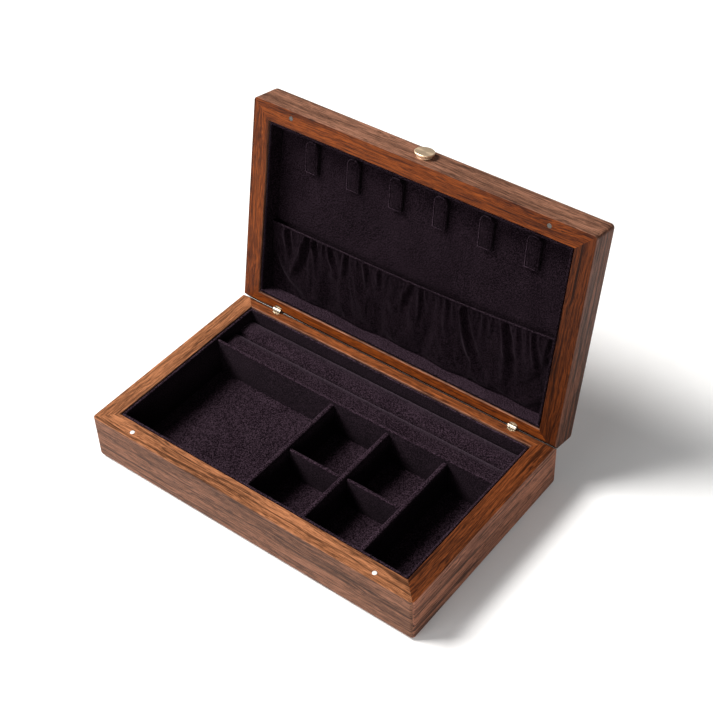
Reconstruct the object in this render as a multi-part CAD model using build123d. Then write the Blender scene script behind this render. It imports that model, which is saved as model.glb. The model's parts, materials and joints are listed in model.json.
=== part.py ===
from build123d import *
import os
from math import cos, radians, sin

# Wooden jewellery box with a hinged lid, a fabric-covered tray in the base and a
# fabric-covered lining with hook tabs and a gathered pocket in the lid.
# Millimetres. +X right, -Y front, +Z up. The origin is the centre of the base's underside.
# The box is stored with its lid open on its stop. Every lid piece is drawn with the lid's
# rim in the plane Z = 0 and its outside upwards, and open_lid() then swings it open.

# Outside
BOX_W = 280.0  # left to right
BOX_D = 170.0  # front to back
BASE_H = 39.0  # base frame, underside to rim
LID_H = 26.0  # lid frame, rim to top
RIM_GAP = 0.4  # between the rims of the shut box
OPEN_ANGLE = 101.0  # from shut to the open stop, degrees

# Mitred frames
RAIL_T = 14.0  # front and side rails, across the rim
BACK_RAIL_T = 13.0  # back rails, across the rim
EDGE_R = 4.2  # round-over of the box's outer long edges
CORNER_R = 3.0  # upright outer corners
RIM_EASE = 0.5  # sanded arrises of the rims
BACK_CHAMFER = 6.2  # bevel of the back rims that lets the lid swing
REBATE_W = 7.0  # step that holds the bottom and top panels
BASE_PANEL_T = 4.0
LID_PANEL_T = 3.0
FIT = 0.05  # glued fits, per side

# Barrel hinges and magnets, at the same distance from the middle
FITTING_X = 106.0
PIVOT_INSET = 5.2  # hinge axis to the back face
BARREL_R = 4.0
BARREL_L = 12.0
BARREL_RECESS = 0.2  # barrel face below its rim
KNUCKLE_R = 2.4
TONGUE_W = 2.4
CHEEK_W = 2.0
HINGE_PLAY = 0.1  # between knuckles, and around them
PIN_R = 0.7
PIN_PLAY = 0.05
STOP_GAP = 0.04  # between the barrels' stop faces and the plane where they meet
MAGNET_R = 1.75
MAGNET_L = 3.0
MAGNET_INSET = 5.8  # magnet axis to the front face

# Knob on the lid's front
KNOB_R = 7.1
KNOB_FOOT_R = 5.4
KNOB_WAIST_R = 5.1
KNOB_H = 4.0
KNOB_RIM_T = 1.2
KNOB_UP = 11.2  # axis above the lid's rim
SCREW_R = 1.5
SCREW_HEAD_R = 3.0
SCREW_HEAD_T = 2.2
SCREW_IN_KNOB = 2.6

# Fabric-covered boards
WALL_T = 2.0
WALL_GAP = 0.7  # between the wood and the covered boards
WALL_TOP_DROP = 0.6  # top edges below the rim
WALL_EDGE_R = 0.8
FLOOR_T = 1.8
LONG_DIVIDER_T = 2.2
LONG_DIVIDER_Y = 30.2
LONG_DIVIDER_TOP = 37.2
CROSS_DIVIDER_T = 4.0
CROSS_DIVIDER_X = (-13.0, 36.2, 85.2)
CROSS_DIVIDER_TOP = 34.6
SHORT_DIVIDER_T = 2.6
SHORT_DIVIDER_Y = (-22.3, -21.2)
SHORT_DIVIDER_TOP = 32.6
BOARD_GAP = 0.3  # between neighbouring covered boards

# Ring rolls
ROLL_TOP = 30.0
ROLL_SPLIT_Y = 51.8
ROLL_SLOT = 1.0
ROLL_EDGE_R = 4.0

# Lid lining
LINING_DEPTH = 14.0  # rim to the face of the padded back board
LINING_T = 8.8  # a foam pad on card

# Hook tabs: the round end points away from the hinge and stands off the lining
TAB_COUNT = 6
TAB_FIRST_X = -92.8
TAB_PITCH = 37.12
TAB_W = 11.0
TAB_ROOT_Y = -37.0
TAB_LENGTH = 26.0
TAB_T = 1.4
TAB_ROOT_DEPTH = 10.8  # rim to the tab's face at its root
TAB_TIP_DEPTH = 8.8  # rim to the tab's face at its round end
TAB_FOOT = 4.5  # length of the spacer under its root

# Gathered pocket
POCKET_DEPTH = 7.4  # rim to the cloth's face
POCKET_T = 0.8
HEM_T = 2.2
HEM_W = 7.0
ELASTIC_T = 0.8
ELASTIC_W = 6.0
HEM_Y = (12.2, 11.9, 4.0)  # hem's free edge at the left wall, left of the middle, and the right wall
HEM_BEND_X = -40.0

# Worked out
HALF_W = BOX_W / 2
HALF_D = BOX_D / 2
INNER_X = HALF_W - RAIL_T
INNER_FRONT = -HALF_D + RAIL_T
INNER_BACK = HALF_D - BACK_RAIL_T
PIVOT_Y = HALF_D - PIVOT_INSET
PIVOT_Z = BASE_H + RIM_GAP / 2
WALL_X = INNER_X - WALL_GAP  # outer faces of the covered walls
WALL_FRONT = INNER_FRONT + WALL_GAP
WALL_BACK = INNER_BACK - WALL_GAP
ROOM_X = WALL_X - WALL_T  # inner faces of the covered walls
ROOM_FRONT = WALL_FRONT + WALL_T
ROOM_BACK = WALL_BACK - WALL_T
FLOOR_BOTTOM = BASE_PANEL_T + BOARD_GAP
FLOOR_TOP = FLOOR_BOTTOM + FLOOR_T


def slab(x0, x1, y0, y1, z0, z1):
    """A box between two corners."""
    size = Box(x1 - x0, y1 - y0, z1 - z0, align=(Align.MIN, Align.MIN, Align.MIN))
    return size.moved(Location((x0, y0, z0)))


def rod(radius, x, y, z0, z1):
    """An upright cylinder."""
    height = z1 - z0
    return Cylinder(radius, height, align=(Align.CENTER, Align.CENTER, Align.MIN)).moved(Location((x, y, z0)))


def cross_rod(radius, x0, x1, y, z):
    """A cylinder along X."""
    bar = Cylinder(radius, x1 - x0, align=(Align.CENTER, Align.CENTER, Align.MIN), rotation=(0, 90, 0))
    return bar.moved(Location((x0, y, z)))


def flat_prism(points, z0, z1):
    """An outline in plan, raised from z0 to z1."""
    face = make_face(Polyline(*points, close=True))
    return extrude(face, amount=z1 - z0, dir=(0, 0, 1)).moved(Location((0, 0, z0)))


def side_prism(points, x0, x1):
    """An outline of (y, z) points, extended from x0 to x1."""
    face = make_face(Polyline(*[(x0, y, z) for y, z in points], close=True))
    return extrude(face, amount=x1 - x0, dir=(1, 0, 0))


def shut_lid(shape):
    """From the lid's own drawing position to its place on the shut box."""
    return shape.moved(Location((0, 0, BASE_H + RIM_GAP)))


def open_lid(shape):
    """From the lid's own drawing position to its place on the open box."""
    return shut_lid(shape).rotate(Axis((0, PIVOT_Y, PIVOT_Z), (1, 0, 0)), -OPEN_ANGLE)


def flip(shape):
    """From rim up to rim down, for a frame of the lid's height."""
    return shape.mirror(Plane.XY).moved(Location((0, 0, LID_H)))


def frame_block(height, panel_t):
    """One frame in one piece, rim up: rounded outside, rebated below, bevelled at the back."""
    block = slab(-HALF_W, HALF_W, -HALF_D, HALF_D, 0, height)
    block = fillet(block.edges().group_by(Axis.Z)[0], EDGE_R)
    uprights = block.edges().filter_by(Axis.Z)
    block = fillet(uprights, CORNER_R)
    block -= slab(-INNER_X, INNER_X, INNER_FRONT, INNER_BACK, -1, height + 1)
    step = REBATE_W
    block -= slab(-INNER_X - step, INNER_X + step, INNER_FRONT - step, INNER_BACK + step, -1, panel_t + FIT)
    bevel = [(HALF_D - BACK_CHAMFER, height), (HALF_D + 1, height + 1), (HALF_D + 1, height - BACK_CHAMFER - 1)]
    block -= side_prism(bevel, -HALF_W - 1, HALF_W + 1)
    rim_edges = block.edges().group_by(Axis.Z)[-1]
    eased = [edge for edge in rim_edges if edge.center().Y < HALF_D - BACK_CHAMFER - RIM_EASE]
    return fillet(eased, RIM_EASE)


def rim_holes(height):
    """Holes in a rim for the barrel hinges and the magnets."""
    holes = []
    for x in (-FITTING_X, FITTING_X):
        holes.append(rod(BARREL_R + FIT, x, PIVOT_Y, height - BARREL_L - BARREL_RECESS - FIT, height + 1))
        holes.append(rod(MAGNET_R + FIT, x, -HALF_D + MAGNET_INSET, height - MAGNET_L - FIT, height + 1))
    return holes


def frame_rails(height, panel_t, extra_holes=()):
    """The four mitred rails of a frame, rim up."""
    block = frame_block(height, panel_t)
    for hole in [*rim_holes(height), *extra_holes]:
        block -= hole
    # The mitres leave the inner corners at 45 degrees.
    rails = {}
    for side, outer_y, inner_y, thickness in (
        ("front", -HALF_D, INNER_FRONT, RAIL_T),
        ("back", HALF_D, INNER_BACK, BACK_RAIL_T),
    ):
        outer_x = INNER_X + thickness
        wedge = [(-outer_x, outer_y), (outer_x, outer_y), (INNER_X, inner_y), (-INNER_X, inner_y)]
        rails[side] = block & flat_prism(wedge, -1, height + 1)
    for side, s in (("left", -1), ("right", 1)):
        wedge = [
            (s * HALF_W, -HALF_D),
            (s * HALF_W, HALF_D),
            (s * (INNER_X + BACK_RAIL_T), HALF_D),
            (s * INNER_X, INNER_BACK),
            (s * INNER_X, INNER_FRONT),
        ]
        rails[side] = block & flat_prism(wedge, -1, height + 1)
    return rails


def frame_panel(panel_t):
    """The panel that sits in a frame's rebate, outer face at Z = 0."""
    step = REBATE_W - FIT
    return slab(-INNER_X - step, INNER_X + step, INNER_FRONT - step, INNER_BACK + step, 0, panel_t)


def knob_hole():
    """Clearance hole and counterbore for the knob's screw, in the lid frame drawn rim up."""
    z = LID_H - KNOB_UP
    hole = Cylinder(SCREW_R + 4 * FIT, RAIL_T + 2, rotation=(90, 0, 0)).moved(Location((0, -HALF_D + RAIL_T / 2, z)))
    head = Cylinder(SCREW_HEAD_R + 4 * FIT, SCREW_HEAD_T + 0.2, rotation=(90, 0, 0))
    return hole + head.moved(Location((0, INNER_FRONT - (SCREW_HEAD_T + 0.2) / 2, z)))


def barrel(height):
    """One hinge barrel, rim up, with the flat rear face that stops the lid."""
    body = rod(BARREL_R, 0, PIVOT_Y, height - BARREL_L - BARREL_RECESS, height - BARREL_RECESS)
    half = radians(OPEN_ANGLE / 2)
    pivot_z = height + RIM_GAP / 2
    reach = 3 * BARREL_R
    # The stop face leaves the hinge axis backwards and down by half the opening angle.
    start = (PIVOT_Y - STOP_GAP * sin(half), pivot_z - STOP_GAP * cos(half))
    end = (start[0] + reach * cos(half), start[1] - reach * sin(half))
    return body - side_prism([start, end, (end[0], pivot_z + 1), (start[0], pivot_z + 1)], -BARREL_R - 1, BARREL_R + 1)


def knuckle(radius, x0, x1, height):
    """A length of hinge knuckle about the hinge axis, in rim-up coordinates."""
    return cross_rod(radius, x0, x1, PIVOT_Y, height + RIM_GAP / 2)


def base_barrel():
    """Barrel with two cheeks, which carry the pin."""
    inner = TONGUE_W / 2 + HINGE_PLAY
    outer = inner + CHEEK_W
    body = barrel(BASE_H)
    for s in (-1, 1):
        body += knuckle(KNUCKLE_R, min(s * inner, s * outer), max(s * inner, s * outer), BASE_H)
    body -= knuckle(KNUCKLE_R + HINGE_PLAY, -inner, inner, BASE_H)
    return body - knuckle(PIN_R + FIT / 2, -outer - 1, outer + 1, BASE_H)


def lid_barrel():
    """Barrel with one tongue between the cheeks, rim up."""
    inner = TONGUE_W / 2
    outer = inner + 2 * HINGE_PLAY + CHEEK_W
    body = barrel(LID_H) + knuckle(KNUCKLE_R, -inner, inner, LID_H)
    for s in (-1, 1):
        body -= knuckle(KNUCKLE_R + HINGE_PLAY, min(s * inner, s * outer), max(s * inner, s * outer), LID_H)
    return body - knuckle(PIN_R + PIN_PLAY, -inner - 1, inner + 1, LID_H)


def hinge_pin():
    """Pin through the cheeks and the tongue."""
    reach = TONGUE_W / 2 + HINGE_PLAY + CHEEK_W
    return knuckle(PIN_R, -reach, reach, BASE_H)


def pair(shape):
    """The same fitting at the left and the right."""
    return Compound([shape.moved(Location((x, 0, 0))) for x in (-FITTING_X, FITTING_X)])


def magnet(height):
    """A round magnet let into a rim, its face flush."""
    disc = rod(MAGNET_R, 0, -HALF_D + MAGNET_INSET, height - MAGNET_L, height)
    return fillet(disc.edges().group_by(Axis.Z)[-1], 0.3)


def knob():
    """Turned pull: narrow foot, hollow waist and a flat face with a square rim."""
    rim_z = KNOB_H - KNOB_RIM_T
    outline = Polyline((0, 0), (KNOB_FOOT_R, 0), (KNOB_FOOT_R, 0.5))
    outline += ThreePointArc((KNOB_FOOT_R, 0.5), (KNOB_WAIST_R + 0.3, rim_z * 0.55), (KNOB_R - 0.5, rim_z))
    outline += Polyline((KNOB_R - 0.5, rim_z), (KNOB_R, rim_z + 0.2), (KNOB_R, KNOB_H - 0.25))
    outline += Polyline((KNOB_R, KNOB_H - 0.25), (KNOB_R - 0.25, KNOB_H), (0, KNOB_H), (0, 0))
    body = revolve(make_face(Plane.XZ * outline), Axis.Z)
    body -= rod(SCREW_R + FIT / 2, 0, 0, -1, SCREW_IN_KNOB + 0.1)
    return body.rotate(Axis.X, 90).moved(Location((0, -HALF_D, KNOB_UP)))


def knob_screw():
    """Screw from inside the lid's front rail into the knob."""
    head_y = INNER_FRONT - 0.1
    shank = HALF_D + head_y + SCREW_IN_KNOB
    screw = rod(SCREW_HEAD_R, 0, 0, 0, SCREW_HEAD_T) + rod(SCREW_R, 0, 0, 0, shank)
    return screw.rotate(Axis.X, 90).moved(Location((0, head_y, KNOB_UP)))


def covered_walls(top, bottom):
    """Four covered boards that line a frame, between two heights, with soft top edges."""
    walls = {
        "front": slab(-WALL_X, WALL_X, WALL_FRONT, ROOM_FRONT, bottom, top),
        "back": slab(-WALL_X, WALL_X, ROOM_BACK, WALL_BACK, bottom, top),
        "left": slab(-WALL_X, -ROOM_X, ROOM_FRONT + FIT, ROOM_BACK - FIT, bottom, top),
        "right": slab(ROOM_X, WALL_X, ROOM_FRONT + FIT, ROOM_BACK - FIT, bottom, top),
    }
    for side, along in (("front", Axis.X), ("back", Axis.X), ("left", Axis.Y), ("right", Axis.Y)):
        top_edges = walls[side].edges().filter_by(along).group_by(Axis.Z)[-1]
        walls[side] = fillet(top_edges, WALL_EDGE_R)
    return walls


def soft_top(board, along, radius):
    """Round a board's two long top edges."""
    return fillet(board.edges().filter_by(along).group_by(Axis.Z)[-1], radius)


def long_divider():
    """Divider from wall to wall, in front of the ring rolls."""
    y0 = LONG_DIVIDER_Y - LONG_DIVIDER_T / 2
    x = ROOM_X - BOARD_GAP
    board = slab(-x, x, y0, y0 + LONG_DIVIDER_T, FLOOR_TOP, LONG_DIVIDER_TOP)
    return soft_top(board, Axis.X, WALL_EDGE_R)


def cross_divider(x):
    """Divider from the front wall to the long divider."""
    y0 = ROOM_FRONT + BOARD_GAP
    y1 = LONG_DIVIDER_Y - LONG_DIVIDER_T / 2 - BOARD_GAP
    board = slab(x - CROSS_DIVIDER_T / 2, x + CROSS_DIVIDER_T / 2, y0, y1, FLOOR_TOP, CROSS_DIVIDER_TOP)
    return soft_top(board, Axis.Y, CROSS_DIVIDER_T * 0.4)


def short_divider(left_x, right_x, y):
    """Divider between two cross dividers."""
    inset = CROSS_DIVIDER_T / 2 + BOARD_GAP
    y0 = y - SHORT_DIVIDER_T / 2
    board = slab(left_x + inset, right_x - inset, y0, y0 + SHORT_DIVIDER_T, FLOOR_TOP, SHORT_DIVIDER_TOP)
    return soft_top(board, Axis.X, WALL_EDGE_R)


def ring_roll(y0, y1):
    """Padded roll, as long as the tray is wide."""
    x = ROOM_X - BOARD_GAP
    return soft_top(slab(-x, x, y0, y1, FLOOR_TOP, ROLL_TOP), Axis.X, ROLL_EDGE_R)


def tab_depth(y):
    """Rim to a tab's face at this distance from the middle of the lid."""
    slope = (TAB_ROOT_DEPTH - TAB_TIP_DEPTH) / TAB_LENGTH
    return TAB_ROOT_DEPTH - slope * (TAB_ROOT_Y - y)


def hook_tab(x):
    """Covered tab with a round end, which leans away from the lining towards that end."""
    tip_y = TAB_ROOT_Y - TAB_LENGTH
    root = tab_depth(TAB_ROOT_Y)
    tip = tab_depth(tip_y)
    profile = [(TAB_ROOT_Y, root), (tip_y, tip), (tip_y, tip + TAB_T), (TAB_ROOT_Y, root + TAB_T)]
    body = side_prism(profile, x - TAB_W / 2, x + TAB_W / 2)
    straight_y = tip_y + TAB_W / 2
    shape = slab(x - TAB_W / 2, x + TAB_W / 2, straight_y, TAB_ROOT_Y, 0, LID_H)
    shape += rod(TAB_W / 2, x, straight_y, 0, LID_H)
    return body & shape


def hook_tab_foot(x):
    """Spacer between a tab's root and the lining."""
    end_y = TAB_ROOT_Y - TAB_FOOT
    back = [tab_depth(y) + TAB_T for y in (TAB_ROOT_Y, end_y)]
    profile = [(TAB_ROOT_Y, back[0]), (end_y, back[1]), (end_y, LINING_DEPTH), (TAB_ROOT_Y, LINING_DEPTH)]
    return side_prism(profile, x - TAB_W / 2, x + TAB_W / 2)


def hem_line(offset):
    """The pocket's hem as a curve across the lid, this far from its free edge."""
    x = ROOM_X - BOARD_GAP
    left, middle, right = [y + offset for y in HEM_Y]
    return Spline((-x, left), (HEM_BEND_X, middle), (x, right), tangents=((1, 0), (1, -0.09)))


def hem_band(near, far, z0, z1):
    """A band of cloth that follows the hem between two distances from its free edge."""
    first = hem_line(near)
    last = hem_line(far)
    sides = [Line(first @ 0, last @ 0), Line(first @ 1, last @ 1)]
    return extrude(make_face([first, last, *sides]), amount=z1 - z0, dir=(0, 0, 1)).moved(Location((0, 0, z0)))


def pocket_cloth():
    """Pocket front: a thin sheet down to the hinge-side wall, and a hollow hem along its free edge."""
    x = ROOM_X - BOARD_GAP
    foot_y = ROOM_BACK - BOARD_GAP
    top = hem_line(0)
    edges = [top, Line(top @ 1, (x, foot_y)), Line((x, foot_y), (-x, foot_y)), Line((-x, foot_y), top @ 0)]
    sheet = extrude(make_face(edges), amount=POCKET_T, dir=(0, 0, 1)).moved(Location((0, 0, POCKET_DEPTH)))
    hem_mid = POCKET_DEPTH + POCKET_T / 2
    hem = hem_band(0, HEM_W, hem_mid - HEM_T / 2, hem_mid + HEM_T / 2)
    channel_w = (HEM_W - ELASTIC_W) / 2 - FIT
    channel_t = ELASTIC_T / 2 + FIT
    return sheet + hem - hem_band(channel_w, HEM_W - channel_w, hem_mid - channel_t, hem_mid + channel_t)


def pocket_elastic():
    """Elastic tape inside the hem."""
    hem_mid = POCKET_DEPTH + POCKET_T / 2
    edge = (HEM_W - ELASTIC_W) / 2
    return hem_band(edge, HEM_W - edge, hem_mid - ELASTIC_T / 2, hem_mid + ELASTIC_T / 2)


def base_parts():
    """Everything that stays on the table."""
    parts = {f"base_rail_{side}": rail for side, rail in frame_rails(BASE_H, BASE_PANEL_T).items()}
    parts["base_panel"] = frame_panel(BASE_PANEL_T)
    for side, wall in covered_walls(BASE_H - WALL_TOP_DROP, FLOOR_BOTTOM).items():
        parts[f"tray_wall_{side}"] = wall
    inset = BOARD_GAP
    parts["tray_floor"] = slab(
        -ROOM_X + inset, ROOM_X - inset, ROOM_FRONT + inset, ROOM_BACK - inset, FLOOR_BOTTOM, FLOOR_TOP - FIT
    )
    parts["long_divider"] = long_divider()
    left, middle, right = CROSS_DIVIDER_X
    for name, x in (("left", left), ("middle", middle), ("right", right)):
        parts[f"cross_divider_{name}"] = cross_divider(x)
    parts["short_divider_left"] = short_divider(left, middle, SHORT_DIVIDER_Y[0])
    parts["short_divider_right"] = short_divider(middle, right, SHORT_DIVIDER_Y[1])
    front_face = LONG_DIVIDER_Y + LONG_DIVIDER_T / 2 + BOARD_GAP
    parts["ring_roll_front"] = ring_roll(front_face, ROLL_SPLIT_Y - ROLL_SLOT / 2)
    parts["ring_roll_back"] = ring_roll(ROLL_SPLIT_Y + ROLL_SLOT / 2, ROOM_BACK - BOARD_GAP)
    parts["base_magnets"] = pair(magnet(BASE_H))
    parts["base_hinge_barrels"] = pair(base_barrel())
    parts["hinge_pins"] = pair(hinge_pin())
    return parts


def lid_parts():
    """Everything that swings, in the lid's own drawing position."""
    rails = frame_rails(LID_H, LID_PANEL_T, [knob_hole()])
    parts = {f"lid_rail_{side}": flip(rail) for side, rail in rails.items()}
    parts["lid_panel"] = flip(frame_panel(LID_PANEL_T))
    for side, wall in covered_walls(LID_H - WALL_TOP_DROP, LID_H - LINING_DEPTH + FIT).items():
        parts[f"lining_wall_{side}"] = flip(wall)
    parts["lining_board"] = slab(-WALL_X, WALL_X, WALL_FRONT, WALL_BACK, LINING_DEPTH, LINING_DEPTH + LINING_T)
    tab_centres = [TAB_FIRST_X + i * TAB_PITCH for i in range(TAB_COUNT)]
    for i, x in enumerate(tab_centres):
        parts[f"hook_tab_{i + 1}"] = hook_tab(x)
    parts["hook_tab_feet"] = Compound([hook_tab_foot(x) for x in tab_centres])
    parts["pocket_cloth"] = pocket_cloth()
    parts["pocket_elastic"] = pocket_elastic()
    parts["lid_magnets"] = flip(pair(magnet(LID_H)))
    parts["lid_hinge_barrels"] = flip(pair(lid_barrel()))
    parts["knob"] = knob()
    parts["knob_screw"] = knob_screw()
    return parts


os.makedirs("parts", exist_ok=True)
for node, solid in base_parts().items():
    export_step(solid, f"parts/{node}.step")
for node, solid in lid_parts().items():
    export_step(open_lid(solid), f"parts/{node}.step")
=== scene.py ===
import json
import math
import random

import bmesh
import bpy
from mathutils import Matrix, Vector, noise


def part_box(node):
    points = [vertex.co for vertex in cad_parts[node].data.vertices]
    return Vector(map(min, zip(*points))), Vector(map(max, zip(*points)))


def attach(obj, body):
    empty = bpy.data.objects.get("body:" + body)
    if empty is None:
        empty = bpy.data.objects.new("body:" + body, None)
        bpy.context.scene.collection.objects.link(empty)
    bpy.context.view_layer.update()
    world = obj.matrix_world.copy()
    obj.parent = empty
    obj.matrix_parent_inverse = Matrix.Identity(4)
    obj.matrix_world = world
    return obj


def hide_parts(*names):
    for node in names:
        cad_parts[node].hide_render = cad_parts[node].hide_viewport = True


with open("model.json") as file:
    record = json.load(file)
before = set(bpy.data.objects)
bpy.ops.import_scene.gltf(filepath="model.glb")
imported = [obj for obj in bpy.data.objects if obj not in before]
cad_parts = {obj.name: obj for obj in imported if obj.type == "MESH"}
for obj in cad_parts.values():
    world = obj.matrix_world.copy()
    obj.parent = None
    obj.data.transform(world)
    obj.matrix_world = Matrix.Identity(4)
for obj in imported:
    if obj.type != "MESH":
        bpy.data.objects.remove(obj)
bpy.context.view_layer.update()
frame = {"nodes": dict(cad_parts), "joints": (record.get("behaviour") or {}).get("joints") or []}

MM = 0.001
PER_METRE = (1000, 1000, 1000)  # turns metres into millimetres inside a material
NODES = frame["nodes"]
HINGE = frame["joints"][0]
PIVOT = Vector(HINGE["pos_m"])
OPEN = math.radians(HINGE["range_deg"][1])

# Lid pieces are made in the place they have on the shut box, and this opens them.
OPENING = Matrix.Translation(PIVOT) @ Matrix.Rotation(-OPEN, 4, "X") @ Matrix.Translation(-PIVOT)
SHUTTING = OPENING.inverted()
FLAT = Matrix.Identity(4)
RIM_GAP = 0.4 * MM
LID_RIM = PIVOT.z + RIM_GAP / 2


def shut_box(node):
    """Lowest and highest corner of a lid node where it lies on the shut box."""
    points = [SHUTTING @ v.co for v in NODES[node].data.vertices]
    low = Vector([min(p[i] for p in points) for i in range(3)])
    high = Vector([max(p[i] for p in points) for i in range(3)])
    return low, high


# ---------------------------------------------------------------- materials


class Shader:
    """A node material with one Principled shader."""

    def __init__(self, name, **values):
        self.material = bpy.data.materials.new(name)
        self.material.use_nodes = True
        self.tree = self.material.node_tree
        self.tree.nodes.clear()
        out = self.tree.nodes.new("ShaderNodeOutputMaterial")
        self.bsdf = self.tree.nodes.new("ShaderNodeBsdfPrincipled")
        self.tree.links.new(self.bsdf.outputs[0], out.inputs[0])
        for key, value in values.items():
            self.bsdf.inputs[key.replace("_", " ")].default_value = value

    def put(self, value, socket):
        if hasattr(value, "is_output"):
            self.tree.links.new(value, socket)
        else:
            socket.default_value = value

    def node(self, kind, output=0, inputs=(), **settings):
        made = self.tree.nodes.new("ShaderNode" + kind)
        for key, value in settings.items():
            setattr(made, key, value)
        for key, value in dict(inputs).items():
            self.put(value, made.inputs[key])
        return made.outputs[output]

    def place(self, turned=False, offset=(0, 0, 0), spin=(0, 0, 0)):
        """Object coordinates in millimetres, first shut with the lid if turned is set."""
        spot = self.node("TexCoord", "Object")
        if turned:
            spot = self.node(
                "Mapping",
                inputs={
                    "Vector": spot,
                    "Location": SHUTTING.to_translation(),
                    "Rotation": SHUTTING.to_euler(),
                },
            )
        spot = self.node("Mapping", inputs={"Vector": spot, "Scale": PER_METRE, "Rotation": spin})
        return self.node("Mapping", inputs={"Vector": spot, "Location": offset})

    def stretched(self, spot, scale, offset=(0, 0, 0)):
        return self.node("Mapping", inputs={"Vector": spot, "Scale": scale, "Location": offset})

    def noise(self, spot, scale=1.0, detail=3.0, rough=0.5, warp=0.0):
        return self.node(
            "TexNoise",
            "Fac",
            {"Vector": spot, "Scale": scale, "Detail": detail, "Roughness": rough, "Distortion": warp},
        )

    def math(self, operation, a, b=0.0):
        return self.node("Math", 0, {0: a, 1: b}, operation=operation)

    def ramp(self, value, stops):
        made = self.tree.nodes.new("ShaderNodeValToRGB")
        ramp = made.color_ramp
        while len(ramp.elements) < len(stops):
            ramp.elements.new(0.5)
        for element, (at, colour) in zip(ramp.elements, stops):
            element.position = at
            if not hasattr(colour, "__len__"):
                colour = (colour, colour, colour)
            element.color = (*colour, 1)
        self.put(value, made.inputs[0])
        return made.outputs[0]

    def mix(self, share, a, b, blend="MIX"):
        made = self.tree.nodes.new("ShaderNodeMix")
        made.data_type = "RGBA"
        made.blend_type = blend
        for value, socket in ((share, made.inputs[0]), (a, made.inputs[6]), (b, made.inputs[7])):
            if not hasattr(value, "is_output") and hasattr(value, "__len__") and len(value) == 3:
                value = (*value, 1)
            self.put(value, socket)
        return made.outputs[2]

    def colour(self, value):
        self.put(value, self.bsdf.inputs["Base Color"])

    def bump(self, height, distance, strength=1.0):
        made = self.node("Bump", 0, {"Height": height, "Distance": distance, "Strength": strength})
        self.put(made, self.bsdf.inputs["Normal"])


LINING_DARK = (0.0020, 0.0010, 0.0017)
LINING_MID = (0.0150, 0.0088, 0.0130)
LINING_LIGHT = (0.0480, 0.0295, 0.0420)


def walnut(name, along, seed, face, rim, streak, turned):
    """Oiled and lacquered walnut with its grain along X or Y. Surfaces that face the way of the rim take the
    rim tones.
    """
    s = Shader(name, Coat_Weight=0.02, Coat_Roughness=0.16, Specular_IOR_Level=0.09)
    spin = (0, 0, 0) if along == "X" else (0, 0, math.radians(-90))
    spot = s.place(turned, spin=spin, offset=(seed * 137.0, seed * 31.0, seed * 17.0))
    rim_way = OPENING.to_3x3() @ Vector((0, 0, -1)) if turned else Vector((0, 0, 1))
    facing = s.node("VectorMath", 1, {0: s.node("TexCoord", "Normal"), 1: rim_way}, operation="DOT_PRODUCT")
    on_rim = s.ramp(facing, ((0.55, 0.0), (0.85, 1.0)))
    light, mid, dark = (s.mix(on_rim, a, b) for a, b in zip(face, rim))
    # A slow sideways drift of the grain
    drift = s.noise(s.stretched(spot, (0.012, 0.05, 0.05)), 1.0, 2.0)
    drift = s.math("MULTIPLY", s.math("SUBTRACT", drift, 0.5), 10.0)
    shift = s.node("CombineXYZ", 0, {1: drift, 2: s.math("MULTIPLY", drift, 0.7)})
    grain = s.node("VectorMath", 0, {0: spot, 1: shift}, operation="ADD")
    # Growth rings cut lengthways: bands of uneven width
    field = s.noise(s.stretched(grain, (0.003, 0.09, 0.09)), 1.0, 2.0, 0.45)
    rings = s.math("PINGPONG", s.math("MULTIPLY", field, 8.0), 0.5)
    rings = s.ramp(rings, ((0.0, 1.0), (0.10, 0.55), (0.5, 0.0)))
    fibres = s.noise(s.stretched(grain, (0.040, 0.95, 0.95)), 1.0, 4.0, 0.72)
    flecks = s.noise(s.stretched(grain, (0.13, 2.1, 2.1)), 1.0, 3.0, 0.6)
    cloud = s.noise(s.stretched(spot, (0.010, 0.08, 0.08)), 1.0, 3.0)
    share = s.math("MULTIPLY", s.math("SUBTRACT", fibres, 0.5), 1.9)
    share = s.math("ADD", share, s.math("MULTIPLY", s.math("SUBTRACT", flecks, 0.5), 2.0))
    share = s.math("ADD", share, s.math("MULTIPLY", rings, 0.34))
    share = s.math("ADD", share, s.math("MULTIPLY", s.math("SUBTRACT", cloud, 0.5), 1.1))
    share = s.math("ADD", share, 0.34)
    base = s.mix(s.ramp(share, ((0.05, 0.0), (0.50, 1.0))), light, mid)
    base = s.mix(s.ramp(share, ((0.50, 0.0), (1.0, 1.0))), base, dark)
    # Long thin streaks of dark heartwood
    heart = s.mix(0.6, dark, (0, 0, 0))
    streaks = s.noise(s.stretched(grain, (0.0065, 0.34, 0.34), (5.0, 2.0, 9.0)), 1.0, 3.0, 0.6)
    streaks = s.ramp(streaks, ((0.54, 0.0), (0.60, 0.8), (0.70, 1.0)))
    base = s.mix(s.math("MULTIPLY", streaks, streak), base, heart)
    pores = s.noise(s.stretched(grain, (0.085, 1.7, 1.7), (3.0, 7.0, 1.0)), 1.0, 2.0, 0.4)
    pores = s.ramp(pores, ((0.59, 0.0), (0.65, 1.0)))
    base = s.mix(s.math("MULTIPLY", pores, 0.65), base, heart)
    s.colour(base)
    s.put(s.ramp(fibres, ((0.3, 0.40), (0.7, 0.58))), s.bsdf.inputs["Roughness"])
    height = s.math("SUBTRACT", s.math("MULTIPLY", flecks, 0.5), pores)
    s.bump(height, 0.00004, 0.5)
    return s.material


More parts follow.
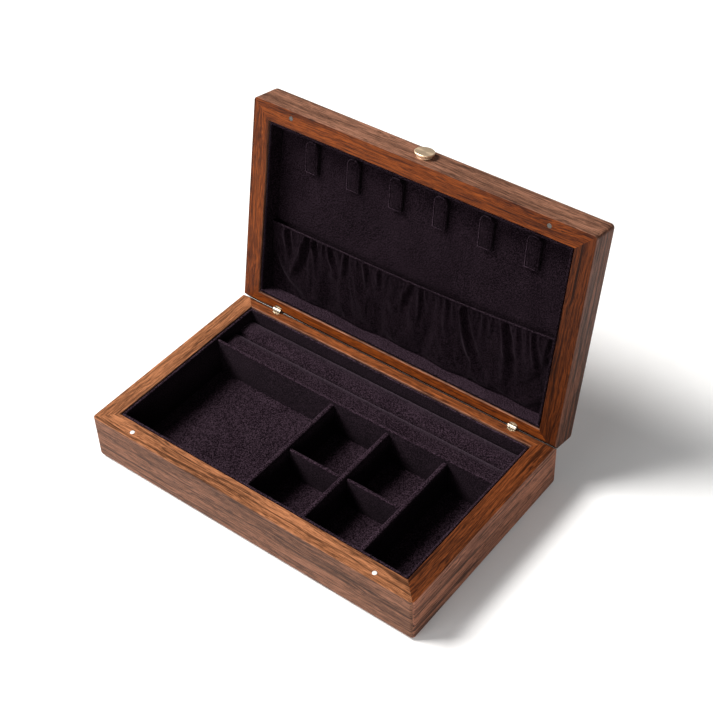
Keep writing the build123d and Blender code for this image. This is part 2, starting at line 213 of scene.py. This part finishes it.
def suede(name, share, seed=0.0, clouds=0.08, nap=0.12, lit=None, way=(0, 0, 1)):
    """Brushed velvet: a short nap full of flecks. share is how much light it sends back.

    Where the cloth faces way it sends back lit instead: a painted highlight on the edges and tops that face
    the light.
    """
    s = Shader(
        name,
        Sheen_Weight=nap * share,
        Sheen_Roughness=0.45,
        Sheen_Tint=(0.86, 0.64, 0.82, 1),
        Specular_IOR_Level=0.0,
    )
    spot = s.place(offset=(seed * 91.0, seed * 57.0, seed * 23.0))
    flecks = s.noise(spot, 1.25, 3.0, 0.62)
    hairs = s.noise(spot, 2.9, 2.0, 0.6)
    patches = s.noise(spot, 0.045, 3.0, 0.55, 0.6)
    height = s.math("ADD", s.math("MULTIPLY", flecks, 0.68), s.math("MULTIPLY", hairs, 0.32))
    height = s.math("ADD", height, s.math("MULTIPLY", s.math("SUBTRACT", patches, 0.5), clouds))
    tint = s.ramp(height, ((0.43, LINING_DARK), (0.50, LINING_MID), (0.57, LINING_LIGHT)))
    bright = share
    if lit:
        facing = s.node("VectorMath", 1, {0: s.node("TexCoord", "Normal"), 1: way}, operation="DOT_PRODUCT")
        edge = s.ramp(facing, ((0.35, 0.0), (0.8, 1.0)))
        bright = s.math("ADD", s.math("MULTIPLY", edge, lit - share), share)
    bright = s.node("CombineXYZ", 0, {0: bright, 1: bright, 2: bright})
    s.colour(s.mix(1.0, tint, bright, "MULTIPLY"))
    s.put(s.ramp(patches, ((0.3, 0.86), (0.7, 0.98))), s.bsdf.inputs["Roughness"])
    s.bump(height, 0.0005, 0.6)
    return s.material


def metal(name, base, worn, rough=(0.16, 0.3), anisotropy=0.0, metallic=1.0):
    """Plated metal with fine polishing marks."""
    s = Shader(name, Metallic=metallic, Anisotropic=anisotropy)
    spot = s.place()
    marks = s.noise(s.stretched(spot, (1.5, 1.5, 1.5)), 1.0, 4.0, 0.6)
    smudge = s.noise(spot, 0.5, 3.0)
    s.colour(s.mix(smudge, base, worn))
    s.put(s.ramp(marks, ((0.3, rough[0]), (0.7, rough[1]))), s.bsdf.inputs["Roughness"])
    s.bump(marks, 0.00001, 0.3)
    if anisotropy:
        tangent = s.node("Tangent", 0, direction_type="RADIAL", axis="Z")
        s.put(tangent, s.bsdf.inputs["Tangent"])
    return s.material


# ---------------------------------------------------------------- pieces


def dress(node, material, angle=28):
    """Keeps a CAD node in view, with a material and smooth curves."""
    obj = NODES[node]
    obj.data.materials.clear()
    obj.data.materials.append(material)
    obj.data.shade_smooth()
    obj.data.set_sharp_from_angle(angle=math.radians(angle))


def piece(name, verts, faces, material, body, nodes=()):
    """A mesh made where it lies on the shut box, put on its body."""
    mesh = bpy.data.meshes.new(name)
    mesh.from_pydata([tuple(v) for v in verts], [], faces)
    mesh.validate()
    outward = bmesh.new()
    outward.from_mesh(mesh)
    bmesh.ops.recalc_face_normals(outward, faces=outward.faces)
    outward.to_mesh(mesh)
    outward.free()
    mesh.shade_smooth()
    mesh.materials.append(material)
    obj = bpy.data.objects.new(name, mesh)
    bpy.context.scene.collection.objects.link(obj)
    obj.matrix_world = OPENING if body == "lid" else FLAT
    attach(obj, body)
    if nodes:
        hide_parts(*nodes)
    return obj


def stops(low, high, radius, step):
    """Grid positions across a rounded block: close together over the curved edges."""
    curve = [radius * (1 - math.tan(math.radians(a))) for a in (45, 33, 22, 11, 0)]
    inside = max(1, round((high - low - 2 * radius) / step))
    flat = [low + radius + (high - low - 2 * radius) * i / inside for i in range(1, inside)]
    return [low + c for c in curve] + flat + [high - c for c in reversed(curve)]


def block(low, high, radius, step, shape=None):
    """A block with rounded edges. shape(point, normal) may move each vertex."""
    low, high = Vector(low), Vector(high)
    radius = min(radius, min(high - low) * 0.499)
    grid = [stops(low[i], high[i], radius, step) for i in range(3)]
    count = [len(g) for g in grid]
    index, verts, faces = {}, [], []

    def corner(key):
        if key not in index:
            point = Vector([grid[i][key[i]] for i in range(3)])
            core = Vector([min(max(point[i], low[i] + radius), high[i] - radius) for i in range(3)])
            normal = (point - core).normalized()
            point = core + normal * radius
            if shape:
                point = shape(point, normal)
            index[key] = len(verts)
            verts.append(point)
        return index[key]

    for axis in range(3):
        b, c = (axis + 1) % 3, (axis + 2) % 3
        for side in (0, count[axis] - 1):
            for i in range(count[b] - 1):
                for j in range(count[c] - 1):
                    keys = []
                    for di, dj in ((0, 0), (1, 0), (1, 1), (0, 1)):
                        key = [0, 0, 0]
                        key[axis], key[b], key[c] = side, i + di, j + dj
                        keys.append(corner(tuple(key)))
                    faces.append(tuple(keys if side else reversed(keys)))
    return verts, faces


def ripple(point, size, seed):
    """Smooth random height from -1 to 1, with bumps about this far apart."""
    x = point.x / size + seed * 7.3
    y = point.y / size - seed * 3.1
    z = point.z / size + seed
    return noise.noise(Vector((x, y, z)))


def soft(amount, seed, size=0.016):
    """Slight unevenness of cloth glued over board."""

    def shape(point, normal):
        lift = ripple(point, size, seed) * amount + ripple(point, size * 0.3, seed + 4) * amount * 0.35
        return point + normal * lift

    return shape


BOARD_STEP = 3 * MM  # mesh size of a covered board


def covered(name, node, body, seed, radius=0.9 * MM, amount=0.12 * MM, shape=None, cloth=None):
    """A fabric-covered board in place of a CAD one."""
    low, high = shut_box(node) if body == "lid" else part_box(node)
    verts, faces = block(low, high, radius, BOARD_STEP, shape or soft(amount, seed))
    cloth = cloth or LINING_WALL[int(seed) % len(LINING_WALL)]
    return piece(name, verts, faces, cloth, body, [node])


def tube(points, radius, sides=8):
    """A round tube along points, closed at both ends."""
    verts, faces = [], []
    count = len(points)
    for i, p in enumerate(points):
        a = points[i - 1] if i else p
        b = points[i + 1] if i < count - 1 else p
        along = (Vector(b) - Vector(a)).normalized()
        side = along.cross(Vector((0, 0, 1)))
        side = side.normalized() if side.length > 1e-6 else Vector((1, 0, 0))
        up = side.cross(along)
        for k in range(sides):
            turn = 2 * math.pi * k / sides
            verts.append(Vector(p) + (side * math.cos(turn) + up * math.sin(turn)) * radius)
    for i in range(count - 1):
        for k in range(sides):
            a, b = i * sides, (i + 1) * sides
            faces.append((a + k, b + k, b + (k + 1) % sides, a + (k + 1) % sides))
    faces.append(tuple(range(sides)))
    faces.append(tuple(reversed(range((count - 1) * sides, count * sides))))
    return verts, faces


# ---------------------------------------------------------------- cloth

SIM_SCALE = 10.0  # the cloth solver works on a box ten times as large


def run_cloth(obj, frames, gravity=(0, 0, 0), pressure=0.0, pins=None, **values):
    """Runs the cloth solver on an unmoved object and returns where its vertices end up."""
    scene = bpy.context.scene
    was = scene.gravity.copy()
    scene.gravity = gravity
    modifier = obj.modifiers.new("Cloth", "CLOTH")
    settings = modifier.settings
    settings.quality = 6
    settings.mass = 0.3
    settings.air_damping = 1.5
    for key, value in values.items():
        setattr(settings, key, value)
    if pins:
        settings.vertex_group_mass = pins
        settings.pin_stiffness = 1.0
    if pressure:
        settings.use_pressure = True
        settings.uniform_pressure_force = pressure
    modifier.collision_settings.use_collision = False
    modifier.point_cache.frame_start = 1
    modifier.point_cache.frame_end = frames
    for i in range(1, frames + 1):
        scene.frame_set(i)
    shape = obj.evaluated_get(bpy.context.evaluated_depsgraph_get())
    points = [v.co.copy() for v in shape.data.vertices]
    obj.modifiers.remove(modifier)
    scene.frame_set(1)
    scene.gravity = was
    return points


def inflate(verts, faces, voxel, pressure, cap, frames=20):
    """Blows a closed shape up a little, as stuffing does. Returns its new vertices and faces."""
    mesh = bpy.data.meshes.new("stuffing")
    mesh.from_pydata([Vector(v) * SIM_SCALE for v in verts], [], faces)
    obj = bpy.data.objects.new("stuffing", mesh)
    bpy.context.scene.collection.objects.link(obj)
    remesh = obj.modifiers.new("Remesh", "REMESH")
    remesh.mode = "VOXEL"
    remesh.voxel_size = voxel * SIM_SCALE
    made = bpy.data.meshes.new_from_object(obj.evaluated_get(bpy.context.evaluated_depsgraph_get()))
    obj.modifiers.remove(remesh)
    obj.data = made
    start = [v.co.copy() for v in made.vertices]
    moved = run_cloth(
        obj,
        frames,
        pressure=pressure,
        tension_stiffness=12.0,
        compression_stiffness=12.0,
        shear_stiffness=6.0,
        bending_stiffness=1.5,
    )
    for i, (a, b) in enumerate(zip(start, moved)):
        step = b - a
        if step.length > cap * SIM_SCALE:
            step = step.normalized() * cap * SIM_SCALE
        start[i] = a + step
    points = [p / SIM_SCALE for p in start]
    polygons = [tuple(p.vertices) for p in made.polygons]
    bpy.data.objects.remove(obj)
    return points, polygons


# ---------------------------------------------------------------- the wood

# Light, middle and dark tones of the wood. Each surface below picks its own set.
PALE = ((0.380, 0.176, 0.110), (0.215, 0.098, 0.060), (0.068, 0.030, 0.019))
AMBER = ((0.450, 0.180, 0.080), (0.255, 0.098, 0.042), (0.078, 0.028, 0.012))
# Face tones of the base's front rail, a darker copy of the pale tones: painted shade that holds back the
# front lamp's light.
FRONT_SHADED_PALE = ((0.228, 0.098, 0.056), (0.128, 0.054, 0.030), (0.041, 0.017, 0.010))
ORANGE = ((0.200, 0.045, 0.006), (0.112, 0.023, 0.003), (0.029, 0.005, 0.001))
CHESTNUT = ((0.300, 0.088, 0.026), (0.170, 0.048, 0.014), (0.052, 0.014, 0.005))
# Rim tones of the lid's right rail, made darker: painted shade on the side turned away from the key lamp.
LID_RIGHT_SHADED_RIM = ((0.094, 0.021, 0.004), (0.051, 0.011, 0.002), (0.014, 0.003, 0.001))
RUSSET = ((0.190, 0.050, 0.014), (0.102, 0.026, 0.007), (0.030, 0.008, 0.003))
UMBER = ((0.400, 0.160, 0.092), (0.228, 0.089, 0.051), (0.068, 0.026, 0.015))
# Face tones of the lid's right rail, made darker: painted shade on the side turned away from the key lamp.
LID_RIGHT_SHADED_FACE = ((0.200, 0.072, 0.038), (0.112, 0.039, 0.020), (0.034, 0.012, 0.006))

# Grain direction, seed, face and rim colours, and strength of the dark streaks
RAILS = {
    "base_rail_front": ("X", 1.0, FRONT_SHADED_PALE, AMBER, 0.70),
    "base_rail_back": ("X", 2.3, PALE, CHESTNUT, 0.40),
    "base_rail_left": ("Y", 3.7, PALE, AMBER, 0.40),
    "base_rail_right": ("Y", 4.9, UMBER, RUSSET, 0.90),
    "lid_rail_front": ("X", 6.1, PALE, ORANGE, 0.45),
    "lid_rail_back": ("X", 7.7, PALE, ORANGE, 0.35),
    "lid_rail_left": ("Y", 8.3, PALE, ORANGE, 0.45),
    "lid_rail_right": ("Y", 9.6, LID_RIGHT_SHADED_FACE, LID_RIGHT_SHADED_RIM, 0.90),
    "base_panel": ("X", 11.2, PALE, PALE, 0.5),
    "lid_panel": ("X", 12.9, PALE, PALE, 0.6),
}
for node, (along, seed, face, rim, streak) in RAILS.items():
    turned = node.startswith("lid")
    dress(node, walnut(f"walnut_{node}", along, seed, face, rim, streak, turned))

# ---------------------------------------------------------------- metal

CHAMPAGNE = ((0.95, 0.73, 0.50, 1), (0.84, 0.62, 0.41, 1))
SILVER = ((0.40, 0.35, 0.28, 1), (0.26, 0.22, 0.17, 1))
NICKEL = ((0.93, 0.92, 0.90, 1), (0.86, 0.85, 0.83, 1))
DARK_REFLECTION_TONES = ((0.13, 0.12, 0.11, 1), (0.08, 0.075, 0.07, 1))
STEEL = ((0.60, 0.60, 0.61, 1), (0.45, 0.45, 0.46, 1))
brass = metal("hinge_brass", *SILVER, rough=(0.26, 0.38))
dress("base_hinge_barrels", brass)
dress("lid_hinge_barrels", brass)
dress("hinge_pins", metal("pin_steel", *STEEL))
dress("knob_screw", metal("screw_steel", *STEEL))
# The base's magnets are part nickel and part flat white; the white is a painted reflection of the bright
# surroundings.
dress("base_magnets", metal("magnet_nickel", *NICKEL, rough=(0.45, 0.6), metallic=0.35))
# The lid's magnets are the same nickel discs made dark: a painted dark reflection.
dress("lid_magnets", metal("magnet_painted_dark", *DARK_REFLECTION_TONES, rough=(0.25, 0.4)))
dress("knob", metal("knob_brass", *CHAMPAGNE, rough=(0.34, 0.42), anisotropy=0.7, metallic=0.72))

# ---------------------------------------------------------------- the tray

# The same velvet sends back less light on upright pieces, in the lid and in the pocket than where it lies
# flat: painted shade. Its edges that face the light send back the most: a painted highlight.
FLAT_SHARE, WALL_SHADED_SHARE, LID_SHADED_SHARE, POCKET_SHADED_SHARE, EDGE_LIT_SHARE = 0.92, 0.44, 0.40, 0.25, 1.20  # light sent back
RIM_WAY = OPENING.to_3x3() @ Vector((0, 0, -1))  # out of the open lid
LINING_FLAT = [suede(f"lining_flat_{i}", FLAT_SHARE, i * 1.7) for i in range(2)]
LINING_WALL = [suede(f"lining_wall_{i}", WALL_SHADED_SHARE, 4 + i * 1.7, lit=EDGE_LIT_SHARE) for i in range(4)]
LINING_LID = [
    suede(f"lining_lid_{i}", LID_SHADED_SHARE, 9 + i * 1.7, nap=0.05, lit=EDGE_LIT_SHARE, way=RIM_WAY) for i in range(2)
]
LINING_BOARD = suede("lining_board", LID_SHADED_SHARE, 12.5)
for i, side in enumerate(("front", "back", "left", "right")):
    covered(f"tray_wall_{side}_cover", f"tray_wall_{side}", "base", i + 1.0)
covered("tray_floor_cover", "tray_floor", "base", 2.0, radius=0.7 * MM, amount=0.2 * MM, cloth=LINING_FLAT[0])

BOW = 1.0 * MM  # the long divider leans out a little between its ends


def bowed(point, normal):
    point = soft(0.15 * MM, 5.0)(point, normal)
    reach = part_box("long_divider")[1].x
    point.y -= BOW * (1 - (point.x / reach) ** 2)
    return point


covered("long_divider_cover", "long_divider", "base", 1.0, radius=1.0 * MM, shape=bowed)
for i, side in enumerate(("left", "middle", "right")):
    covered(f"cross_divider_{side}_cover", f"cross_divider_{side}", "base", i + 3.0, radius=1.7 * MM)
for i, side in enumerate(("left", "right")):
    covered(f"short_divider_{side}_cover", f"short_divider_{side}", "base", i + 6.0, radius=1.2 * MM)

for i, side in enumerate(("front", "back")):
    node = f"ring_roll_{side}"
    low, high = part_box(node)
    beyond = Vector((2.5 * MM, 0, 0))
    verts, faces = block(low - beyond, high + beyond, 4.0 * MM, 4 * MM)
    verts, faces = inflate(verts, faces, 2.2 * MM, 4.0, 0.6 * MM)
    verts = [Vector((min(max(p.x, low.x), high.x), p.y, p.z)) for p in verts]
    roll = piece(f"{node}_pad", verts, faces, LINING_FLAT[i], "base", [node])

# ---------------------------------------------------------------- the lid's lining

for i, side in enumerate(("front", "back", "left", "right")):
    covered(f"lining_wall_{side}_cover", f"lining_wall_{side}", "lid", i + 2.0, cloth=LINING_LID[i % 2])
covered("lining_board_pad", "lining_board", "lid", 3.0, radius=0.8 * MM, amount=0.2 * MM, cloth=LINING_BOARD)

# ---------------------------------------------------------------- the hook tabs


def tab_outline(low, high, inset, count=20):
    """Outline of a tab, seen from the front of the open lid: square at the root, round at the tip."""
    middle = (low.x + high.x) / 2
    radius = (high.x - low.x) / 2
    straight = low.y + radius
    reach = radius - inset
    points = []
    for i in range(9):
        y = high.y - inset - (high.y - inset - straight) * i / 8
        points.append((high.x - inset, y))
    for i in range(1, count):
        turn = math.pi * i / count
        points.append((middle + reach * math.cos(turn), straight - reach * math.sin(turn)))
    for i in range(9):
        y = straight + (high.y - inset - straight) * i / 8
        points.append((low.x + inset, y))
    for i in range(1, 6):
        points.append((low.x + inset + (high.x - low.x - 2 * inset) * i / 6, high.y - inset))
    return points


def tab_mesh(low, high, slope, face, thickness):
    """A padded tab: soft edge, a seam line just inside it and a slightly raised middle. Also gives the faces
    of its soft edge that get a painted highlight, all but those near its right side.
    """
    profile = [
        (0.55, 0.0),
        (0.15, 0.12),
        (0.0, 0.5),
        (0.10, 0.88),
        (0.35, 1.05),
        (0.75, 1.05),
        (1.05, 0.70),
        (1.40, 0.86),
        (2.4, 0.98),
        (3.6, 1.04),
        (4.9, 1.06),
    ]
    rings, verts, faces = [], [], []
    for inset, height in profile:
        ring = []
        for x, y in tab_outline(low, high, inset * MM):
            depth = face - slope * (high.y - y) + thickness * (1 - height)
            ring.append(len(verts))
            verts.append(Vector((x, y, LID_RIM + depth)))
        rings.append(ring)
    for a, b in zip(rings, rings[1:]):
        for i in range(len(a)):
            j = (i + 1) % len(a)
            faces.append((a[i], b[i], b[j], a[j]))
    faces.append(tuple(rings[-1]))
    faces.append(tuple(reversed(rings[0])))
    around = len(rings[0])
    lit = high.x - EDGE_HIGHLIGHT_STOP
    seam = [i for i in range(2 * around, 5 * around) if verts[faces[i][0]].x < lit]
    return verts, faces, seam


# The painted highlight on a tab's edge stops this far from its right side, where the edge lies in shadow.
EDGE_HIGHLIGHT_STOP = 2.2 * MM  # the seam lies in shadow this near the tab's right side
tab_cloth = suede("tab_lining", 0.32, 8.0)
# Lighter cloth on the tabs' soft edges: a painted highlight.
tab_edge_highlight = suede("tab_edge_highlight", 1.15, 8.5)
TAB_LEAN = 2.0 / 26.0  # the tip of a tab stands out 2 mm more than its root, over 26 mm
TAB_ROOT_DEPTH = 10.8 * MM
for i in range(6):
    node = f"hook_tab_{i + 1}"
    low, high = shut_box(node)
    verts, faces, seam = tab_mesh(low, high, TAB_LEAN, TAB_ROOT_DEPTH, 1.9 * MM)
    tab = piece(f"{node}_pad", verts, faces, tab_cloth, "lid", [node])
    # The edge faces take the lighter cloth: a painted highlight.
    tab.data.materials.append(tab_edge_highlight)
    for face in seam:
        tab.data.polygons[face].material_index = 1
dress("hook_tab_feet", tab_cloth)

# ---------------------------------------------------------------- the pocket

POCKET_LOW, POCKET_HIGH = shut_box("pocket_cloth")
HEM_LEFT, HEM_MID, HEM_RIGHT = 12.2 * MM, 11.9 * MM, 4.0 * MM
HEM_BEND = -40 * MM


def hem_y(x):
    """Where the hem runs across the lid."""
    slope = (HEM_MID - HEM_LEFT) / (HEM_BEND - POCKET_LOW.x)
    if x < HEM_BEND:
        return HEM_MID + slope * (x - HEM_BEND)
    reach = POCKET_HIGH.x - HEM_BEND
    drop = HEM_RIGHT - HEM_MID - slope * reach
    return HEM_MID + slope * (x - HEM_BEND) + drop * ((x - HEM_BEND) / reach) ** 2


POCKET_TOP_DEPTH = 8.5  # the cloth's upper edge below the lid's rim, mm

# Long folds of the pocket, from left to right, in mm: place on the hem, drift to the foot,
# width and height, and then how far down they reach as a share
LONG_FOLDS = (
    (-110, 7, 2.6, 2.2, 0.55),
    (-93, -14, 3.2, 3.4, 0.95),
    (-84, 6, 2.4, 2.4, 0.42),
    (-70, 10, 3.0, 2.2, 0.55),
    (-56, -9, 2.6, 2.2, 0.45),
    (-38, 7, 3.0, 1.6, 0.42),
    (-25, -8, 2.6, 1.7, 0.36),
    (2, -20, 3.6, 2.1, 0.70),
    (12, -3, 2.6, 1.9, 0.50),
    (35, 2, 3.2, 1.4, 0.75),
    (47, 17, 2.6, 3.4, 1.00),
    (67, -5, 2.4, 1.1, 0.38),
    (81, 8, 3.0, 3.3, 1.00),
    (90, 12, 2.6, 1.5, 0.80),
    (105, 9, 2.6, 1.9, 0.80),
    (116, 3, 2.2, 1.0, 0.50),
)


def pocket_folds():
    """Every fold of the pocket: the long ones and the short puckers under the elastic."""
    draw = random.Random(11)
    folds = list(LONG_FOLDS)
    x = -121.0
    while x < 121.0:
        crowded = max(math.exp(-(((x + 95) / 45) ** 2)), math.exp(-(((x - 95) / 40) ** 2)), 0.35)
        folds.append(
            (
                x,
                draw.uniform(-15, 15),
                draw.uniform(0.9, 1.9),
                draw.uniform(0.15, 1.15) * (0.35 + 0.75 * crowded),
                draw.uniform(0.07, 0.34),
            )
        )
        x += draw.uniform(2.6, 4.8) / (0.55 + 0.55 * crowded)
    return folds


def fold_height(x, v, folds):
    """How far the folds stand out of the cloth at x, a share v of the way from hem to foot."""
    total = 0.0
    for place, drift, width, height, reach in folds:
        if v >= reach:
            continue
        along = v / reach
        spread = width * (0.55 + 0.95 * v)
        t = (x - place - drift * v - 1.4 * math.sin(place + 5 * v)) / spread
        if abs(t) > 4.5:
            continue
        rise = min(1.0, v / 0.05 + 0.25)
        fade = (1 - along**2) * (0.55 + 0.45 * math.cos(along * 1.4))
        total += height * rise * fade * (math.exp(-t * t) - 0.7 * math.exp(-((t - 1.7) ** 2) * 0.9))
    return total


def pocket_grid(columns, rows):
    """Start shape and held vertices of the pocket's cloth, on a grid."""
    folds = pocket_folds()
    start, held, faces = [], [], []
    for j in range(rows + 1):
        v = (j / rows) ** 1.15
        for i in range(columns + 1):
            x = POCKET_LOW.x + (POCKET_HIGH.x - POCKET_LOW.x) * i / columns
            top = hem_y(x)
            bulge = math.sin(math.pi * min(1.0, v * 1.02)) ** 0.75
            edge = min(1.0, min(i, columns - i) / columns * 28)
            depth = POCKET_TOP_DEPTH + 4.2 * v - 1.5 * bulge * edge
            depth -= fold_height(x / MM, v, folds) * edge * min(1.0, (1 - v) * 9)
            spot = Vector((x / MM, v * 55, 3.0))
            depth -= 2.6 * v**3 * edge * (0.45 + noise.noise(Vector((x / MM / 26, 8.0, 2.0))))
            depth -= bulge * edge * (noise.noise(spot / 21) * 2.2 + noise.noise(spot / 8) * 1.0)
            start.append(Vector((x, top + (POCKET_HIGH.y - top) * v, LID_RIM + depth * MM)))
            if j in (0, rows) or i in (0, columns):
                held.append(j * (columns + 1) + i)
    for j in range(rows):
        for i in range(columns):
            a = j * (columns + 1) + i
            faces.append((a, a + columns + 1, a + columns + 2, a + 1))
    return start, held, faces


COLUMNS, ROWS = 300, 56
RELAX_FRAMES = 10
POCKET_SHALLOW, POCKET_DEEP = 4.5 * MM, 13.4 * MM  # the cloth stays between these depths
start, held, faces = pocket_grid(COLUMNS, ROWS)
centre = Vector((0, 0, LID_RIM + POCKET_TOP_DEPTH * MM))
moved = [(p - centre) * SIM_SCALE for p in start]
mesh = bpy.data.meshes.new("pocket_start")
mesh.from_pydata(moved, [], faces)
sim = bpy.data.objects.new("pocket_start", mesh)
bpy.context.scene.collection.objects.link(sim)
group = sim.vertex_groups.new(name="Held")
group.add(held, 1.0, "REPLACE")
moved = run_cloth(
    sim,
    RELAX_FRAMES,
    gravity=SHUTTING.to_3x3() @ Vector((0, 0, -6)),
    pins="Held",
    shrink_min=-0.012,
    mass=0.05,
    tension_stiffness=10.0,
    compression_stiffness=10.0,
    shear_stiffness=4.0,
    bending_stiffness=0.8,
)
bpy.data.objects.remove(sim)
verts = []
for p in moved:
    p = p / SIM_SCALE + centre
    p.z = min(max(p.z, LID_RIM + POCKET_SHALLOW), LID_RIM + POCKET_DEEP)
    verts.append(p)
# The pocket's velvet sends back less light than flat velvet: painted shade.
pocket_cloth = suede("pocket_lining", POCKET_SHADED_SHARE, 3.0, nap=0.15)
stands_for = ["pocket_cloth", "pocket_elastic"]
pocket = piece("pocket_gathers", verts, faces, pocket_cloth, "lid", stands_for)
HEM_STEPS = 160
HEM_DEPTH = 8.45  # below the lid's rim, mm
HEM_RADIUS = 0.55 * MM
hem_points = []
for i in range(HEM_STEPS + 1):
    x = POCKET_LOW.x + (POCKET_HIGH.x - POCKET_LOW.x) * i / HEM_STEPS
    wave = math.sin(x / 0.0021) * 0.12 + math.sin(x / 0.0047 + 1) * 0.16
    hem_points.append(Vector((x, hem_y(x) + wave * 0.4 * MM, LID_RIM + (HEM_DEPTH + wave) * MM)))
tube_verts, tube_faces = tube(hem_points, HEM_RADIUS)
hem_cloth = suede("hem_lining", 0.65, 3.4)
hem = piece("pocket_hem", tube_verts, tube_faces, hem_cloth, "lid")

# ---------------------------------------------------------------- studio

CAMERA_AZIMUTH = math.radians(39.185)
CAMERA_HEIGHT = math.radians(42.673)
CAMERA_ROLL = math.radians(-2.407)
CAMERA_REACH = 1.04718
CAMERA_TARGET = Vector((-0.011736, 0.056231, 0.060))
LENS, SENSOR = 74.3, 36.0

back = Vector(
    (
        math.sin(CAMERA_AZIMUTH) * math.cos(CAMERA_HEIGHT),
        -math.cos(CAMERA_AZIMUTH) * math.cos(CAMERA_HEIGHT),
        math.sin(CAMERA_HEIGHT),
    )
)
level = (-back).cross(Vector((0, 0, 1))).normalized()
upright = level.cross(-back)
right = level * math.cos(CAMERA_ROLL) + upright * math.sin(CAMERA_ROLL)
up = upright * math.cos(CAMERA_ROLL) - level * math.sin(CAMERA_ROLL)
turn = Matrix((right, up, back)).transposed().to_4x4()
lens = bpy.data.cameras.new("Camera")
lens.lens = LENS
lens.sensor_width = SENSOR
lens.clip_start, lens.clip_end = 0.05, 50
camera = bpy.data.objects.new("Camera", lens)
camera.matrix_world = Matrix.Translation(CAMERA_TARGET + back * CAMERA_REACH) @ turn
bpy.context.scene.collection.objects.link(camera)
bpy.context.scene.camera = camera


def lamp(name, place, aim, size, power, colour=(1, 1, 1)):
    """A square or oblong lamp turned towards a point."""
    light = bpy.data.lights.new(name, "AREA")
    light.shape = "RECTANGLE"
    light.size, light.size_y = size
    light.energy = power
    light.color = colour
    obj = bpy.data.objects.new(name, light)
    obj.location = place
    obj.rotation_mode = "QUATERNION"
    obj.rotation_quaternion = (Vector(aim) - Vector(place)).to_track_quat("-Z", "Y")
    bpy.context.scene.collection.objects.link(obj)


lamp("Key", (-2.35, -1.30, 3.62), (0, 0.02, 0.03), (1.7, 1.7), 316, (1.0, 0.985, 0.96))
lamp("Front", (-0.55, -2.6, 0.80), (0, 0.08, 0.10), (1.5, 0.8), 35)
lamp("Low", (2.2, -0.9, 0.42), (0.12, 0, 0.03), (0.9, 0.35), 9, (1.0, 0.99, 0.97))

FLOOR = 6  # from the middle of the floor to its edge, m
floor_mesh = bpy.data.meshes.new("Floor")
corners = [(-FLOOR, -FLOOR, 0), (FLOOR, -FLOOR, 0), (FLOOR, FLOOR, 0), (-FLOOR, FLOOR, 0)]
floor_mesh.from_pydata(corners, [], [(0, 1, 2, 3)])
paper = Shader("floor_paper", Roughness=0.9, Emission_Color=(1, 1, 1, 1), Emission_Strength=0.12)
grain = paper.noise(paper.place(), 0.05, 3.0)
paper.colour(paper.ramp(grain, ((0.3, 0.86), (0.7, 0.88))))
floor_mesh.materials.append(paper.material)
floor = bpy.data.objects.new("Floor", floor_mesh)
bpy.context.scene.collection.objects.link(floor)

world = bpy.data.worlds.new("Studio")
bpy.context.scene.world = world
world.use_nodes = True
world.node_tree.nodes["Background"].inputs[0].default_value = (1, 1, 1, 1)
world.node_tree.nodes["Background"].inputs[1].default_value = 0.13
bpy.context.scene.view_settings.view_transform = "Standard"
